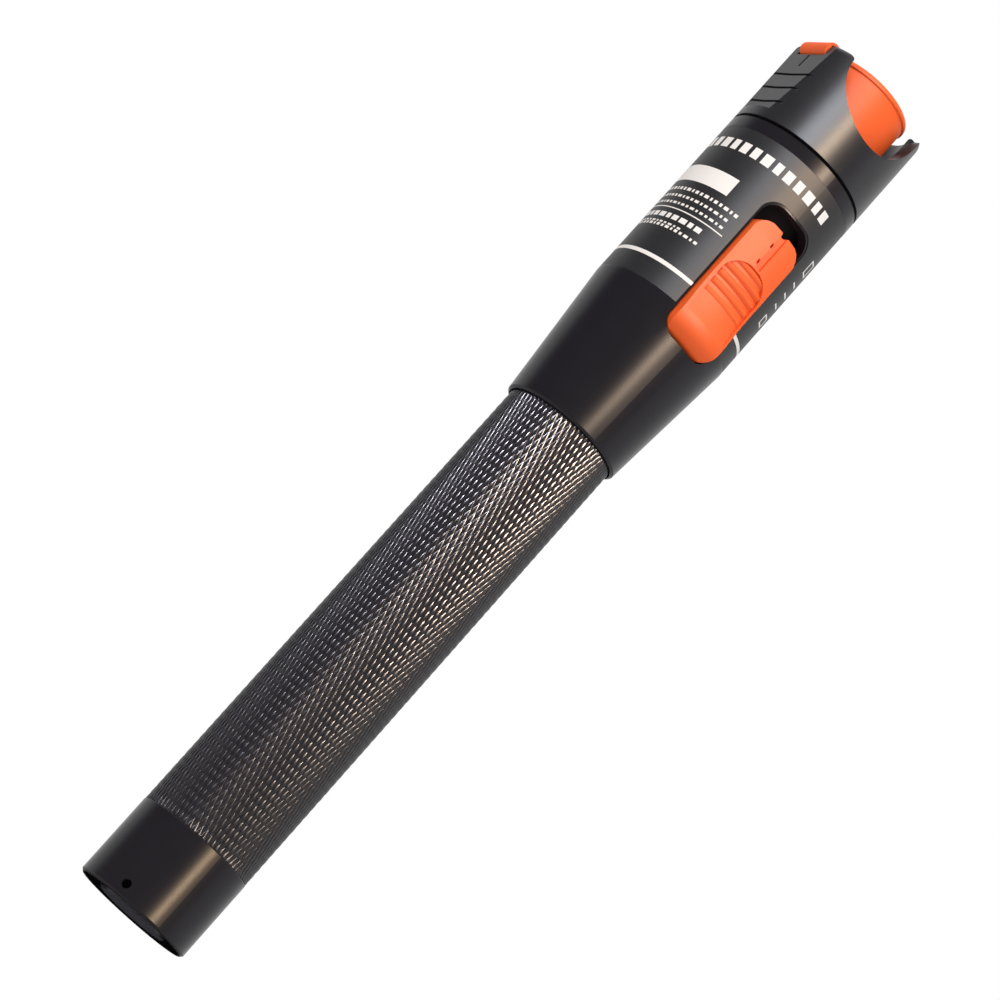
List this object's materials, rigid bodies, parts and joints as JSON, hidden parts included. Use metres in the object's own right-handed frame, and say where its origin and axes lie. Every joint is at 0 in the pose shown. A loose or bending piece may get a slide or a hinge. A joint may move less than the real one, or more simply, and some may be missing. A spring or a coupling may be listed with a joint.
{
  "type": "visual fault locator",
  "caption": "Pen-shaped red-laser fault finder for optical fibre: knurled battery barrel, three-position slide switch, hinged dust cap over the 2.5 mm port.",
  "frame": {"origin": "centre of the tail face, the flat end of the battery cap that the pen stands on", "axes": "+Z along the pen from tail to fibre port, +X through the middle of the slide switch, dust-cap hinge on the -Y side"},
  "size_m": [0.0275, 0.026, 0.1784],
  "materials": {
    "anodised_black": "black anodised, satin",
    "orange_plastic": "moulded, fine satin",
    "black_nylon": "glass-filled nylon, matte",
    "dark_film": "matte printed film",
    "black_rubber": "nitrile rubber",
    "spring_steel": "drawn or stamped steel",
    "cell_sleeve": null,
    "nickel_plate": "nickel-plated brass",
    "zirconia": "ground ceramic",
    "brass": "turned brass",
    "lens_glass": "coated optical glass",
    "board_laminate": "glass-epoxy laminate",
    "lead_plastic": "soft PVC insulation"
  },
  "bodies": {
    "tail_assembly": {"tail_cap": "anodised_black", "contact_spring": "spring_steel", "tail_seal_ring": "black_rubber"},
    "cell_stack": {"rear_cell": "cell_sleeve", "front_cell": "cell_sleeve"},
    "main_unit": {"barrel": "anodised_black", "neck_seal_ring": "black_rubber", "front_body": "anodised_black", "label_film": "dark_film", "switch_case": "spring_steel", "head_shell": "black_nylon", "head_seal_ring": "black_rubber", "hinge_pin": "spring_steel", "port_adapter": "nickel_plate", "split_sleeve": "zirconia", "laser_holder": "brass", "laser_diode": "spring_steel", "focusing_lens": "lens_glass", "lens_ring": "brass", "contact_disc": "board_laminate", "positive_contact": "brass", "inner_carrier": "black_nylon", "main_board": "board_laminate", "board_screws": "spring_steel", "driver_chip": "black_nylon", "power_coil": "black_nylon", "board_capacitors": "zirconia", "ground_clip": "spring_steel", "battery_lead": "lead_plastic", "laser_leads": "lead_plastic"},
    "slide_knob": {"slider_button": "orange_plastic", "switch_lever": "black_nylon"},
    "dust_cover": {"dust_cap": "orange_plastic", "seal_pad": "black_rubber"}
  },
  "joints": [
    {"name": "tail_cap_turn", "type": "hinge", "parent": "tail_assembly", "child": "cell_stack", "pos_m": [0, 0, 0.0146], "axis": [0, 0, 1], "range_deg": [0, 2160]},
    {"name": "barrel_travel", "type": "slide", "parent": "cell_stack", "child": "main_unit", "axis": [0, 0, 1], "range_m": [0, 0.0075], "deforming": ["contact_spring"]},
    {"name": "switch_slide", "type": "slide", "parent": "main_unit", "child": "slide_knob", "axis": [0, 0, 1], "range_m": [0, 0.003]},
    {"name": "dust_cap_hinge", "type": "hinge", "parent": "main_unit", "child": "dust_cover", "pos_m": [0, -0.0109, 0.177], "axis": [1, 0, 0], "range_deg": [0, 110]}
  ],
  "couplings": [
    {"joint": "tail_cap_turn", "follows": "barrel_travel", "rad_per_m": 5026.5}
  ]
}
